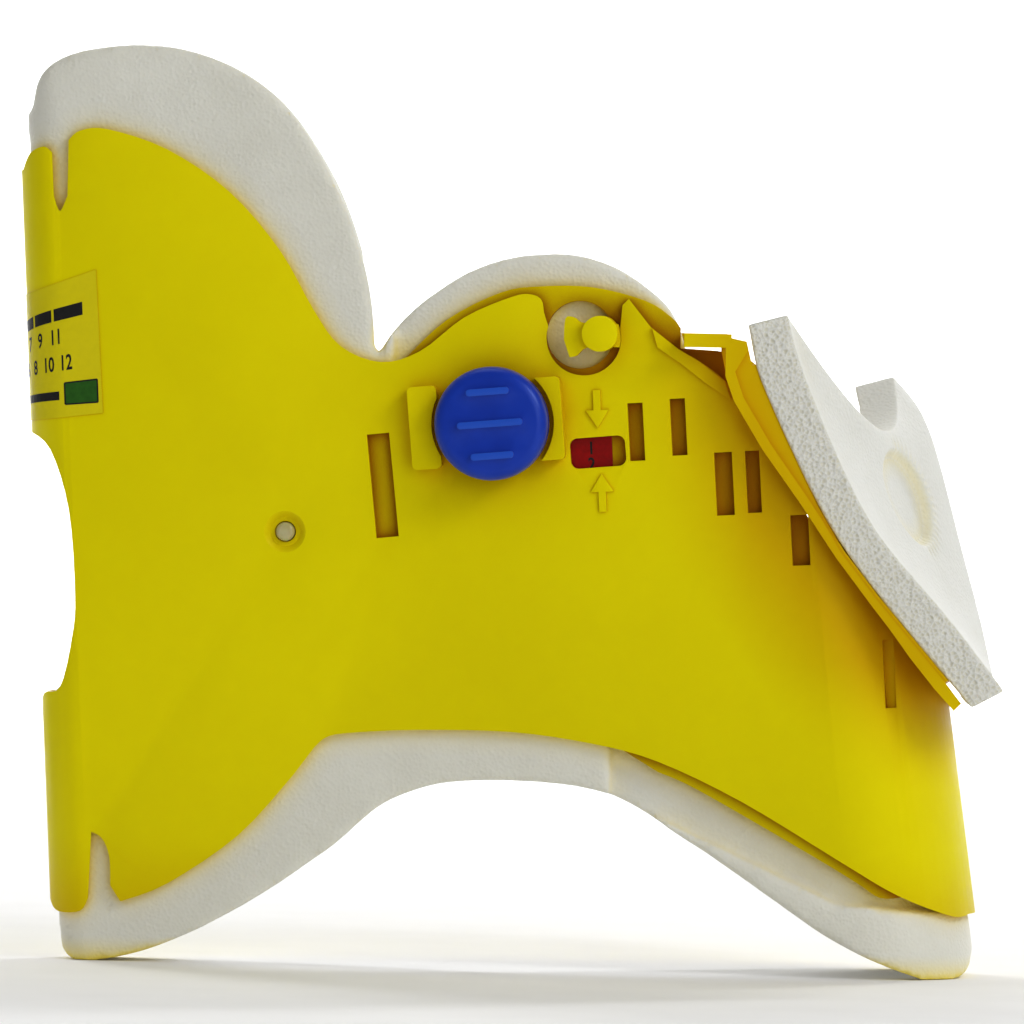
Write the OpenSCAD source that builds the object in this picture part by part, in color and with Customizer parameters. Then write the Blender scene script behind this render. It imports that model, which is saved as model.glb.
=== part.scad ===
// Adjustable cervical collar, folded flat for storage: a bent plastic shell with a foam lining,
// a chin carrier that slides up inside it, a chin rest that flips up, and push-in locks.
// X runs from the back fold to the front, Y across the folded collar, Z up from the foam feet.
// The near half lies at negative Y. The origin is under the middle of the folded collar.

/* [Folded loop] */
// X of the outer face of the back fold, at floor level
back_edge = -86; // [-87:0.5:-85]
// X of the outer face of the front fold, at floor level
front_edge = 92.5; // [91:0.5:94]
// Outer radius of the back fold
back_r = 8.5; // [8:0.5:9]
// Angle between each flat wall and the XZ plane
splay = 5.5; // [5:0.1:6]
// How far the back fold leans back for each mm of height
back_lean = 0.0583; // [0.05:0.001:0.065]
// How far the front fold leans back for each mm of height
front_lean = 0.1456; // [0.13:0.001:0.16]

/* [Layers] */
// Thickness of the plastic shell
shell_t = 1.5; // [1.2:0.1:1.5]
// Free space on each side of the sliding chin wings
slide_gap = 0.4; // [0.3:0.1:0.4]
// Thickness of the sliding chin wings
wing_t = 1.3; // [1:0.1:1.3]
// Depth of the foam's inner face below the shell's outer face
lining_depth = 7; // [6.5:0.1:7]

/* [Size setting] */
// Distance between two size settings
pitch = 3; // [3:0.1:3]
// Number of size settings
settings = 12; // [6:1:12]
// Diameter of a lock button
button_d = 21.6; // [20:0.1:22]

/* [Chin rest] */
// Distance of the chin plate's side flanges from the middle plane
chin_half_w = 25.5; // [25:0.5:27]
// Thickness of the chin plate
plate_t = 1.4; // [1:0.1:1.5]

/* [Closure strap] */
// Width of the hook and loop strap
strap_w = 22; // [18:1:24]
// X of the strap's free end
strap_tip = 16; // [10:1:20]

/* [Hidden] */
$fn = 48;

yellow = [0.93, 0.84, 0.02];
deep_yellow = [0.86, 0.72, 0.02];
foam_white = [0.95, 0.95, 0.93];

floor_z = -5;                               // level where the loop's walls are started
roof_z = 185;                               // level where the loop's walls are ended
fold_gap = 0.1;                             // half the slit along the back fold
wing_d = shell_t + slide_gap;               // depth of the wing's outer face
wing_back_d = wing_d + wing_t;              // depth of the wing's inner face
pocket_d = wing_back_d + slide_gap;         // depth of the foam pocket behind the wing
slide_dir = [-back_lean, 0, 1] / sqrt(1 + back_lean * back_lean);
lean_angle = atan(back_lean);               // lean of the back fold in the XZ plane
wall_tip = atan(back_lean * sin(splay));    // how far a flat wall tips out of the vertical
feature_tilt = 5.5;                         // bracket, ribs and window rise towards the front
arc_step = 5;                               // angle between two points on a fold
far_panel_end = -27;                        // X of the far back panel's end, at Z = 100
far_front_end = -24;                        // X of the far front wall's end, at Z = 100

lock_at = [-3.3, 104.3];                    // X and Z of each lock on the wall
bracket_at = [-4.6, 104.3];
window_at = [16.5, 99.2];
hook_at = [13.4, 120.8];
peg_hole_r = 7.1;                           // radius of the open hole round the peg
rivet_at = [-42.8, 82.8];
rivet_r = 1.8;
stem_r = 4;
stem_hole_r = 5.2;
tooth = [7, 1];                             // width and height of one pawl tooth
tooth_gap = 0.4;                            // play around a tooth in its rack slot
button_rest = 3.2;                          // height of the button's underside above the wall
button_h = 5.4;

crease = [32.1, 121];                       // X and Z of the chin rest's living hinge

// ---- Curves ------------------------------------------------------------------------------

// One point of a Catmull-Rom curve through a, b, c and d, at u between b and c
function spline_point(a, b, c, d, u) =
    0.5 * (2 * b + (c - a) * u + (2 * a - 5 * b + 4 * c - d) * u * u
    + (3 * b - a - 3 * c + d) * u * u * u);

// A smooth open curve through pts, with n steps between each two of them
function curve(pts, n = 4) =
    let (last = len(pts) - 1)
    [for (i = [0 : last - 1], k = [0 : n - 1])
        spline_point(pts[max(i - 1, 0)], pts[i], pts[i + 1], pts[min(i + 2, last)], k / n),
     pts[last]];

function reversed(list) = [for (i = [len(list) - 1 : -1 : 0]) list[i]];

// An arc of circle c, r from angle a0 to a1
function arc(c, r, a0, a1, n = 12) =
    [for (k = [0 : n]) let (a = a0 + (a1 - a0) * k / n) c + r * [cos(a), sin(a)]];

// ---- The folded loop ---------------------------------------------------------------------

function back_x(z) = back_edge - back_lean * z;
function front_x(z) = front_edge - front_lean * z;
function front_r(z) =
    (back_r + sin(splay) * (front_x(z) - back_x(z) - back_r)) / (1 + sin(splay));

// A point of the loop at level z and depth d, where the outward direction has angle phi.
// Each point belongs to the front fold (front = 1) or to the back fold (front = 0).
function loop_point(z, d, front, phi) =
    let (c = front == 1 ? front_x(z) - front_r(z) : back_x(z) + back_r,
         r = (front == 1 ? front_r(z) : back_r) - d)
    [c + r * cos(phi), r * sin(phi), z];

near_phi = 270 - splay;                     // outward direction of the near wall
far_phi = 90 + splay;                       // outward direction of the far wall
near_fold = [for (a = [180 : arc_step : near_phi - 1]) [0, a], [0, near_phi]];
front_fold = [for (a = [near_phi : arc_step : 360 + far_phi - 1]) [1, a], [1, 360 + far_phi]];
far_fold = [for (a = [360 + far_phi : arc_step : 539]) [0, a], [0, 540]];
main_path = concat(near_fold, front_fold, [[0, 360 + far_phi]]);
far_back_path = concat([[1, 360 + far_phi]], far_fold);
near_wall_path = [[0, near_phi], [1, near_phi]];
label_path = concat(near_fold, [[1, near_phi]]);

// Y of the near wall's outer face at X and Z
function wall_y(x, z) = -(back_r + sin(splay) * (x - back_x(z) - back_r)) / cos(splay);

// A solid wall along a path of the loop, from depth d0 to depth d1
module loop_wall(path, d0, d1) {
    n = len(path);
    rings = [for (level = [[floor_z, d0], [roof_z, d0], [floor_z, d1], [roof_z, d1]], p = path)
        loop_point(level[0], level[1], p[0], p[1])];
    sides = [for (i = [0 : n - 2]) each [
        [i, n + i, n + i + 1, i + 1],
        [2 * n + i, 2 * n + i + 1, 3 * n + i + 1, 3 * n + i],
        [n + i, 3 * n + i, 3 * n + i + 1, n + i + 1],
        [i, i + 1, 2 * n + i + 1, 2 * n + i]]];
    ends = [[0, 2 * n, 3 * n, n], [n - 1, 2 * n - 1, 4 * n - 1, 3 * n - 1]];
    polyhedron(points = rings, faces = concat(sides, ends), convexity = 6);
}

// A side view outline, pushed through the whole width of the collar
module side_cut(outline) {
    translate([0, 50, 0]) rotate([90, 0, 0]) linear_extrude(height = 100) polygon(outline);
}

// Puts children at a point of the near wall: X along the wall, -Y outwards
module on_wall(at) {
    translate([at[0], wall_y(at[0], at[1]), at[1]]) rotate([wall_tip, 0, -splay]) children();
}

module far_side() {
    mirror([0, 1, 0]) children();
}

// A cylinder from height h0 to h1 above the wall, in the frame of on_wall
module wall_disc(r, h0, h1) {
    translate([0, -h0, 0]) rotate([90, 0, 0]) cylinder(r = r, h = h1 - h0);
}

// A block from height h0 to h1 above the wall, centred on its place
module wall_block(w, tall, h0, h1) {
    translate([-w / 2, -h1, -tall / 2]) cube([w, h1 - h0, tall]);
}

// Space in front of the far wall's end (x above x_end) or behind it
module far_zone(x_end, ahead) {
    translate([x_end, 0, 100]) rotate([0, -lean_angle, 0])
        translate([ahead ? 0 : -200, 0, -150]) cube([200, 60, 300]);
}

// Everything close to the back fold on one side of the middle plane, and gap beyond it
module behind_fold(near, gap = fold_gap) {
    translate([-120, near ? -40 : -gap, -20]) cube([60, 40 + gap, 220]);
}

// ---- Side view outlines ------------------------------------------------------------------

far_left = -100;
far_right = 97;

// The cut-out in the middle of the back, from its lower to its upper corner
back_cutout = concat([[far_left, 47.2]],
    curve([[-89.4, 47.2], [-88.4, 50.8], [-85.2, 52.3], [-83.1, 62], [-82.7, 70], [-84.2, 86],
           [-88, 97.5], [-92.4, 101]]),
    [[far_left, 101.6]]);

// Upper edge of the shell, from the fold to the open peg hole
shell_top_back = curve([[-85.6, 156.6], [-83.3, 158.5], [-78, 158.8], [-66.7, 155.2], [-54.7, 147.4],
    [-44.8, 136.4], [-38.2, 125.3], [-32.9, 118.4], [-25.2, 115.5], [-17.7, 117.7], [-9.4, 124.3],
    [-0.4, 128.4], [3.2, 128.9], [5.2, 127.9], [5.7, 125.6]]);
shell_top_front = concat([[20.6, 127.2], [21.8, 128.4]],
    curve([[26, 123.2], [31.3, 119.2], [35.5, 116.8], [40.4, 113.2], [44.2, 108], [48, 100.6],
           [55.1, 90.8], [62.2, 80.2], [69.2, 71.3], [75.3, 63.4], [80, 57.6], [82.6, 54.4],
           [84.2, 52.8]], 3));
shell_bottom = concat(
    curve([[89.2, 12.3], [85.7, 12.1], [75, 16.2], [64.2, 22.3], [45.2, 33.3], [29.1, 40.6],
           [16.7, 43.7], [1.1, 45.6], [-16.8, 45.6], [-29.9, 44.7], [-34.1, 43.8], [-36.4, 41.8]]),
    curve([[-40.4, 36.3], [-50.6, 24.7], [-63.9, 15.2], [-72.9, 11.5]]));
// Slits in both ends of the back fold let it close flat
bottom_slit = concat(curve([[-74.9, 14.5], [-75.2, 20], [-76.6, 23.4], [-78.7, 24.7]]),
    curve([[-79.1, 12], [-80.6, 9.5], [-84.8, 9.2], [-86.4, 10.8], [-86.9, 13]]));
top_slit = concat(curve([[-94.4, 150.8], [-93, 154], [-90.4, 155.3], [-88.7, 154.2]]),
    curve([[-88.2, 146], [-87, 143], [-85.6, 146]]));
shell_outline = concat(shell_top_back, arc(hook_at, peg_hole_r, 163, 375, 24), shell_top_front,
    [[far_right, 52.2], [far_right, 12.4]], shell_bottom, bottom_slit, [[far_left, 13.2]],
    back_cutout, [[far_left, 150]], top_slit);

foam_top_back = curve([[-92.9, 162], [-91.8, 168], [-88.6, 171.5], [-83, 173.7], [-73, 175],
    [-64, 174.4], [-54, 171], [-45, 164.8], [-38.2, 156.1], [-32.5, 145.5], [-28.6, 134],
    [-26.8, 124], [-26.4, 116]]);
foam_top_side = curve([[-26.2, 116], [-21, 123.7], [-12, 131], [-4, 134.8], [4, 136.5], [12, 136.5],
    [20, 134], [27.1, 129.2], [31, 124.5], [33.4, 117]]);
foam_top_front = curve([[38.6, 112.2], [43, 106.5], [47, 99.6], [54.1, 89.8], [61.2, 79.2],
    [68.2, 70.3], [74.3, 62.4], [79, 56.6], [81.6, 53.4], [84.2, 51.6]], 3);
foot_back = [-82, -77];                     // X range of the back foot's flat
foot_front = [80, 87];                      // X range of the front foot's flat
foam_bottom = concat(curve([[89.9, 4.4], [89.2, 1.6], [foot_front[1], 0]]),
    curve([[foot_front[0], 0], [70, 3.7], [59, 9.6], [42.8, 20.7], [33.8, 26.3], [25, 31.8],
           [16.9, 34.9], [4, 36.2], [-8, 36], [-16, 34.4], [-24.1, 30.6], [-32.3, 23.2],
           [-46.2, 13.2], [-58, 6.5], [-69, 1.9], [foot_back[1], 0]]),
    curve([[foot_back[0], 0], [-83.8, 1.6], [-84.9, 5]]));
foam_outline = concat(foam_top_back, [[-26.3, 112]], foam_top_side, foam_top_front,
    [[far_right, 51], [far_right, 5.2]], foam_bottom, [[far_left, 6.4]], back_cutout,
    [[far_left, 161]]);

wing_outline = concat([[-17, 60], [-18.5, 100]],
    curve([[-20.5, 116.3], [-12.7, 123.8], [-2.5, 129.2], [5, 130.5], [15.1, 130.5], [25.1, 128.1],
           [30.1, 125], [31.8, 123]]),
    [[31.8, 119.2], [39.6, 118.8], [40.8, 113.2], [43.8, 107.4], [47.3, 100.4], [54.3, 90.6],
     [60.6, 81.4], [60.6, 60]]);
liner_outline = concat(
    curve([[29.1, 38.6], [37.1, 35.2], [58.8, 23.3], [67.4, 18.3], [71.8, 15.6], [76.3, 15.8]]),
    [[far_right, 15.6], [far_right, 50], [81, 51.8], [73, 62], [67.4, 69.3], [62.8, 69.3],
     [62.5, 57.5], [20, 57.5], [20, 44]]);
slot_liner_outline = [[-30.5, 79], [-20.7, 79], [-21.7, 105], [-31.5, 105]];
// Space that the foam leaves for the wings over their whole travel, and for the liners
wing_pocket = [[-22.5, 59], [-22.5, 76], [-34, 76], [-34, 108], [-22.5, 108], [-22.5, 150], [40, 150],
    [100, 60], [100, 12], [64, 14], [20, 34], [20, 59]];

label_outline = [[-79.9, 132], [-78, 104.7], [far_left, 101.9], [far_left, 124.6]];

// ---- Shell and lining --------------------------------------------------------------------

// A vertical slot in the shell's wall, leaning back as the loop does
module wall_slot(x, z, w, tall, tilt = 4) {
    on_wall([x, z]) rotate([0, -tilt, 0]) wall_block(w, tall, -5, 5);
}

// X, Z, width and height of the open slots in the front of the shell
guide_slots = [[23.7, 103.2, 2.9, 11], [31.7, 104.3, 2.9, 10.8], [40.6, 93.7, 3.4, 12],
               [46.1, 94.2, 2.7, 11.8], [55.2, 83.3, 3.4, 9.6]];
front_slot = [72.3, 58.2, 2, 13];
strap_slot = [-24.3, 92, 4.3, 19.8];

module guide_holes() {
    for (s = guide_slots) wall_slot(s[0], s[1], s[2], s[3]);
}

// The number window, with round corners
module window_hole() {
    w = 10.6;
    tall = 5.8;
    r = 1.5;
    on_wall(window_at) rotate([0, -feature_tilt, 0]) {
        wall_block(w - 2 * r, tall, -5, 5);
        wall_block(w, tall - 2 * r, -5, 5);
        for (x = [-1, 1], z = [-1, 1])
            translate([x * (w / 2 - r), 0, z * (tall / 2 - r)]) wall_disc(r, -5, 5);
    }
}

// Hole for a foam rivet, with a dished seat round it
module rivet_hole() {
    on_wall(rivet_at) {
        wall_disc(rivet_r + 0.2, -8, 1);
        translate([0, 1, 0]) rotate([90, 0, 0]) cylinder(r1 = 2.8, r2 = 4.1, h = 1.1);
    }
}

// Openings that both sides of the shell share
module side_holes() {
    on_wall(lock_at) wall_disc(stem_hole_r, -3, 1);
    guide_holes();
    window_hole();
}

// A raised arrow that points down at the window, or up at it when turned over
module arrow(at, turn) {
    sunk = 0.3;
    relief = 0.4;
    on_wall(at) translate([0, sunk, 0]) rotate([0, turn, 0]) rotate([90, 0, 0])
        linear_extrude(height = sunk + relief)
            polygon([[-0.7, 3.6], [-0.7, -0.2], [-2.2, -0.2], [0, -3.6], [2.2, -0.2], [0.7, -0.2],
                     [0.7, 3.6]]);
}

// Raised rib along the sloping edge below the chin link, and the arrows at the window
module side_relief() {
    intersection() {
        loop_wall(near_wall_path, -0.9, 0.2);
        side_cut([[26.3, 122.9], [31.3, 119.1], [35.5, 116.7], [40.2, 113.2], [41.5, 109.6],
                  [36, 113.2], [32.1, 116.2], [27.4, 119.3]]);
    }
    arrow([16.2, 107.4], -lean_angle);
    arrow([17.5, 91.5], 180 - lean_angle);
}

module collar_shell() {
    color(yellow) {
        difference() {
            intersection() {
                loop_wall(main_path, 0, shell_t);
                side_cut(shell_outline);
            }
            behind_fold(false);
            far_zone(far_front_end, false);
            side_holes();
            far_side() side_holes();
            wall_slot(strap_slot[0], strap_slot[1], strap_slot[2], strap_slot[3], 6.5);
            wall_slot(front_slot[0], front_slot[1], front_slot[2], front_slot[3]);
            rivet_hole();
        }
        side_relief();
        far_side() side_relief();
    }
}

module far_back_shell() {
    color(yellow) difference() {
        intersection() {
            loop_wall(far_back_path, 0, shell_t);
            side_cut(shell_outline);
        }
        behind_fold(true);
        far_zone(far_panel_end, true);
        far_side() rivet_hole();
    }
}

// Inner plastic band round the front; its lower edge shows below the shell
module front_liner() {
    color(deep_yellow) difference() {
        intersection() {
            loop_wall(main_path, shell_t, wing_back_d - 0.3);
            side_cut(liner_outline);
        }
        behind_fold(false);
    }
}

// Inner plate behind the strap's slot
module slot_liner() {
    color(deep_yellow) intersection() {
        loop_wall(near_wall_path, shell_t, wing_back_d - 0.3);
        side_cut(slot_liner_outline);
    }
}

module collar_foam() {
    color(foam_white) difference() {
        intersection() {
            loop_wall(main_path, shell_t, lining_depth);
            side_cut(foam_outline);
        }
        intersection() {
            loop_wall(main_path, shell_t - 0.5, pocket_d);
            side_cut(wing_pocket);
        }
        behind_fold(false);
        far_zone(far_front_end, false);
        on_wall(rivet_at) wall_disc(rivet_r + 0.2, -8, 1);
    }
}

module far_back_foam() {
    color(foam_white) difference() {
        intersection() {
            loop_wall(far_back_path, shell_t, lining_depth);
            side_cut(foam_outline);
        }
        behind_fold(true);
        far_zone(far_panel_end, true);
        far_side() on_wall(rivet_at) wall_disc(rivet_r + 0.2, -8, 1);
    }
}

module size_chart_label() {
    color("gold") difference() {
        intersection() {
            loop_wall(label_path, -0.2, 0);
            side_cut(label_outline);
        }
        behind_fold(false, 1.6);
    }
}

// Push rivet that holds the foam to the back panel, with a domed end in the shell's seat
module foam_rivet() {
    shaft_top = lining_depth - 0.8;
    dome_r = 0.9;
    color("whitesmoke") on_wall(rivet_at) translate([0, lining_depth, 0]) rotate([90, 0, 0])
        rotate_extrude()
            polygon(concat([[0, -0.8], [5, -0.8], [5, 0], [rivet_r, 0]],
                arc([rivet_r - dome_r, shaft_top], dome_r, 0, 80, 5), [[0, shaft_top + dome_r]]));
}

// ---- Locks and wall fittings -------------------------------------------------------------

// Two raised posts on a thin floor, hollowed to clear the button
module lock_bracket() {
    floor_h = 1;
    post_h = 3.4;
    post_w = 5.6;
    post_tall = 15.8;
    corner_r = 1;
    color(yellow) difference() {
        on_wall(bracket_at) rotate([0, -feature_tilt, 0]) {
            wall_block(24, 13.4, 0, floor_h);
            for (side = [-1, 1]) translate([side * 11.8, 0, 0]) {
                wall_block(post_w - 2 * corner_r, post_tall, 0, post_h);
                wall_block(post_w, post_tall - 2 * corner_r, 0, post_h);
                for (x = [-1, 1], z = [-1, 1])
                    translate([x * (post_w / 2 - corner_r), 0, z * (post_tall / 2 - corner_r)])
                        wall_disc(corner_r, 0, post_h);
            }
        }
        on_wall(lock_at) {
            wall_disc(button_d / 2 + 0.9, floor_h, 10);
            wall_disc(stem_hole_r, -1, 2);
        }
    }
}

// Round button with a rounded rim and three raised ribs
module lock_button() {
    r = button_d / 2;
    rim = 2.2;
    rib_w = 1.3;
    color([0.10, 0.22, 0.65]) on_wall(lock_at) {
        translate([0, -button_rest, 0]) rotate([90, 0, 0]) rotate_extrude($fn = 96)
            polygon(concat([[0, 0], [r, 0]], arc([r - rim, button_h - rim], rim, 0, 90, 6),
                           [[0, button_h]]));
        rotate([0, -feature_tilt, 0]) for (rib = [[0, 12.5], [6.1, 8.2], [-6.1, 8.2]])
            translate([0, 0, rib[0]]) {
                wall_block(rib[1] - rib_w, rib_w, button_rest + button_h - 0.1,
                           button_rest + button_h + 0.7);
                for (side = [-1, 1]) translate([side * (rib[1] - rib_w) / 2, 0, 0])
                    wall_disc(rib_w / 2, button_rest + button_h - 0.1, button_rest + button_h + 0.7);
            }
    }
}

// Moves children to one tooth's place, counted in settings down the wall
module at_setting(i) {
    translate(-i * pitch * slide_dir) on_wall(lock_at) rotate([0, -feature_tilt, 0]) children();
}

// Stem of the lock with three teeth, which enter the rack when the button is pushed in
module lock_pawl() {
    tooth_root = 0.9;
    tooth_tip = -1.3;
    color("darkblue") {
        on_wall(lock_at) wall_disc(stem_r, tooth_root, button_rest);
        for (i = [-1 : 1]) at_setting(i) wall_block(tooth[0], tooth[1], tooth_tip, tooth_root);
    }
}

// Peg in the open hole, with a round head, a waisted neck and a web to the hole's edge
module cannula_hook() {
    web_low = -1.4;
    head_h = 4.2;
    neck_h = 2.6;
    color(yellow) on_wall(hook_at) {
        intersection() {
            wall_disc(peg_hole_r - 0.05, web_low, -0.1);
            translate([5, 0, 0.6]) wall_block(6, 4.4, web_low, 0);
        }
        rotate([0, -feature_tilt, 0]) {
            translate([3.4, 0, 0.6]) wall_disc(3.4, web_low, head_h);
            rotate([90, 0, 0]) linear_extrude(height = neck_h)
                polygon(concat(curve([[3.4, -2.3], [0.4, -1.9], [-1.4, -3.2], [-2.8, -3.4]]),
                    curve([[-3.6, 0], [-3, 4], [-1.4, 4.1], [0.3, 2.9], [3.4, 3.4]])));
        }
    }
}

// ---- Chin carrier ------------------------------------------------------------------------

// Sliding wing with a hole behind the peg and a rack of slots for the lock
module chin_wing() {
    color(deep_yellow) difference() {
        intersection() {
            loop_wall(concat([[0, near_phi]], [for (a = [near_phi : arc_step : 330]) [1, a]]),
                      wing_d, wing_back_d);
            side_cut(wing_outline);
        }
        on_wall(hook_at + [-0.9, 0.6]) wall_disc(6.4, -6, 1);
        for (i = [-1 : settings])
            at_setting(i) wall_block(tooth[0] + 2 * tooth_gap, tooth[1] + 2 * tooth_gap, -6, 0);
    }
}

// Printed strip on the wing; one number shows in the window at each setting
module number_label() {
    thick = 0.12;
    strip_w = 10.4;
    reach = (settings - 1) * pitch + 10;
    color("firebrick") translate(-(reach / 2 - 5) * slide_dir) on_wall(window_at)
        translate([-2.6, 0, 0]) rotate([0, -lean_angle, 0])
            wall_block(strip_w, reach, -wing_d, -wing_d + thick);
}

// ---- Chin rest ---------------------------------------------------------------------------

// Each profile of the rest has a front line and a back line, from its top to its tip.
chin_tip_front = [94.4, 55.5];
chin_tip_back = [88.2, 52.2];
near_front = curve([[51.9, 126], [53.9, 118.6], [57, 110.5], [63.3, 96.4], [70.6, 83.6],
                    [82.6, 70.3], chin_tip_front], 2);
near_back = curve([[44.5, 124], [46, 116.5], [48.4, 110.5], [55, 96.6], [63.4, 81.6],
                   [77.4, 64.6], chin_tip_back], 2);
mid_front = curve([[70.5, 104.5], [71.8, 99.4], [73.6, 93.4], [77, 84.6], [81.6, 75.6],
                   [87.6, 65.6], chin_tip_front], 2);
mid_back = curve([[64, 101.6], [65.4, 96.6], [67.2, 90.6], [70.8, 81.4], [75.6, 72],
                  [81.6, 62.4], chin_tip_back], 2);
far_front = curve([[73.6, 114.4], [78.6, 109], [82, 101.4], [84.9, 91.4], [88, 80],
                   [91.6, 67.6], chin_tip_front], 2);
far_back = curve([[66.2, 112.3], [71.6, 105.2], [75.2, 98.4], [78.4, 89.2], [81.6, 78.4],
                  [85.2, 65.8], chin_tip_back], 2);

// Blends the near, middle and far profile lines at t, from -1 (near) to 1 (far)
function chin_line(near_line, mid_line, far_line, t) =
    [for (i = [0 : len(near_line) - 1])
        near_line[i] * t * (t - 1) / 2 + mid_line[i] * (1 - t * t) + far_line[i] * t * (t + 1) / 2];

// Moves a profile line sideways by d, square to its direction
function moved_line(line, d) =
    [for (i = [0 : len(line) - 1])
        let (step = line[min(i + 1, len(line) - 1)] - line[max(i - 1, 0)], size = norm(step))
        line[i] + d * [step[1], -step[0]] / size];

// A closed solid through one closed profile per station; each profile is clockwise from -Y,
// and is a line followed by a second line that runs back beside it. The two lines' faces are
// split along opposite diagonals, so two lofts that share a line fit face to face.
module chin_loft(profiles, stations) {
    n = len(profiles[0]);
    last = len(stations) - 1;
    points = [for (j = [0 : last], p = profiles[j]) [p[0], stations[j], p[1]]];
    skin = [for (j = [0 : last - 1], k = [0 : n - 1])
        let (a = j * n + k, b = j * n + (k + 1) % n)
        each k < n / 2 ? [[a, a + n, b + n], [a, b + n, b]] : [[a, a + n, b], [a + n, b + n, b]]];
    caps = [for (k = [0 : n / 2 - 2])
        let (a = k, b = k + 1, c = n - 2 - k, d = n - 1 - k, far = last * n)
        each [[a, b, c], [a, c, d], [far + c, far + b, far + a], [far + d, far + c, far + a]]];
    polyhedron(points = points, faces = concat(skin, caps), convexity = 6);
}

chin_stations = 16;
chin_sheet_half = chin_half_w - 0.5;
flange_t = 1.5;                             // thickness of the chin plate's side flanges
function station_y(j) = chin_sheet_half * (2 * j / chin_stations - 1);
// The profile is constant between the last two stations at each edge
function station_t(j) =
    let (t = station_y(j) / station_y(chin_stations - 1)) max(-1, min(1, t));
function back_line(t) = chin_line(near_back, mid_back, far_back, t);
function front_line(t) = chin_line(near_front, mid_front, far_front, t);

// The plate's part of a back line: from below the foam's top to just above its tip
function plate_line(t) = let (line = back_line(t)) [for (i = [2 : len(line) - 2]) line[i]];

module chin_flange(outer, t) {
    translate([0, -chin_half_w + flange_t, 0]) rotate([90, 0, 0])
        linear_extrude(height = flange_t)
            polygon(concat(outer, reversed(moved_line(plate_line(t), plate_t / 2))));
}

// Sunk field between the near flange's rim and the foam
module flange_recess() {
    sunk = 0.9;
    line = near_back;
    translate([0, -chin_half_w + sunk, 0]) rotate([90, 0, 0]) linear_extrude(height = 2)
        polygon(concat([[42.1, 115], [43.8, 110.2], [49.1, 101.5], [56.2, 91.6], [60.8, 84.8]],
            [for (i = [len(line) - 5 : -1 : 1]) line[i] + [0.3, 0]]));
}

// Strip between the crease and the plate, above the shell's edge
module chin_link() {
    translate([crease[0] + 0.25, -chin_half_w, crease[1] - 1.5]) cube([9, 7.2, 2.6]);
}

module chin_plate() {
    stations = [for (j = [0 : chin_stations]) station_y(j)];
    profiles = [for (j = [0 : chin_stations]) let (line = plate_line(station_t(j)))
        concat(line, reversed(moved_line(line, plate_t)))];
    color(yellow) {
        difference() {
            chin_loft(profiles, stations);
            flange_recess();
        }
        difference() {
            chin_flange([[44.2, 120.8], [40.3, 121.6], [40.3, 114.2], [42, 109.5], [47.5, 100.5],
                [54.7, 90.7], [62, 80.1], [68.8, 71.3], [72.4, 66.8], [76.4, 61.4], [81, 55.8],
                [84.8, 51.6], [86.2, 53]], -1);
            flange_recess();
        }
        chin_link();
        far_side() {
            chin_flange([[58, 107.6], [40.3, 121.6], [40.3, 114.2], [52, 101], [60, 90],
                [67, 79.5], [74, 69.5], [80.6, 59.5]], 1);
            chin_link();
        }
    }
}

module chin_pad() {
    stations = [for (j = [0 : chin_stations]) station_y(j)];
    profiles = [for (j = [0 : chin_stations]) let (t = station_t(j))
        concat(front_line(t), reversed(back_line(t)))];
    color(foam_white) chin_loft(profiles, stations);
}

// ---- Closure strap -----------------------------------------------------------------------

strap_z = 65;
strap_anchor = [-62, -46];                  // X range of the doubled end
strap_out = 2.1;                            // height of the strap's underside above the wall
strap_t = 1.3;

// A band on the far wall from x0 to x1, with a round end where round_end is set
module far_band(x0, x1, w, h0, h1, round_end = false) {
    tip_r = round_end ? w / 2 : 0;
    far_side() intersection() {
        loop_wall(near_wall_path, -h1, -h0);
        side_cut(concat([[x0, strap_z - w / 2], [x1 - tip_r, strap_z - w / 2]],
            round_end ? arc([x1 - tip_r, strap_z], tip_r, -80, 80, 16) : [],
            [[x1 - tip_r, strap_z + w / 2], [x0, strap_z + w / 2]]));
    }
}

module loop_patch() {
    color([0.25, 0.25, 0.27]) far_band(-18, 34, strap_w + 3, 0, 1);
}

module hook_patch() {
    color([0.2, 0.2, 0.22]) far_band(-14, strap_tip - 8, strap_w - 4, 1.3, strap_out);
}

module closure_strap() {
    color([0.2, 0.2, 0.22]) {
        far_band(strap_anchor[0], strap_tip, strap_w, strap_out, strap_out + strap_t, true);
        far_band(strap_anchor[0], strap_anchor[1], strap_w, 0, strap_out);
    }
}

module strap_rivets() {
    top = strap_out + strap_t;
    color("whitesmoke") far_side() for (z = [-6, 6]) on_wall([-54, strap_z + z])
        wall_disc(3, top, top + 1.1);
}

// ---- Nodes -------------------------------------------------------------------------------

collar_shell();
far_back_shell();
front_liner();
collar_foam();
far_back_foam();
slot_liner();
lock_bracket();  // lock_bracket_near
far_side() lock_bracket();  // lock_bracket_far
size_chart_label();
foam_rivet();  // foam_rivet_near
far_side() foam_rivet();  // foam_rivet_far
cannula_hook();  // cannula_hook_near
far_side() cannula_hook();  // cannula_hook_far
loop_patch();
hook_patch();
closure_strap();
strap_rivets();
chin_wing();  // chin_wing_near
far_side() chin_wing();  // chin_wing_far
number_label();  // number_label_near
far_side() number_label();  // number_label_far
chin_plate();
chin_pad();
lock_button();  // lock_button_near
far_side() lock_button();  // lock_button_far
lock_pawl();  // lock_pawl_near
far_side() lock_pawl();  // lock_pawl_far
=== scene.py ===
"""Looks for the folded cervical collar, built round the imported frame: soft foam, moulded plastic,
a printed label and a strap."""

import math

import bmesh
import bpy
from mathutils import Matrix, Vector, noise


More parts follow.
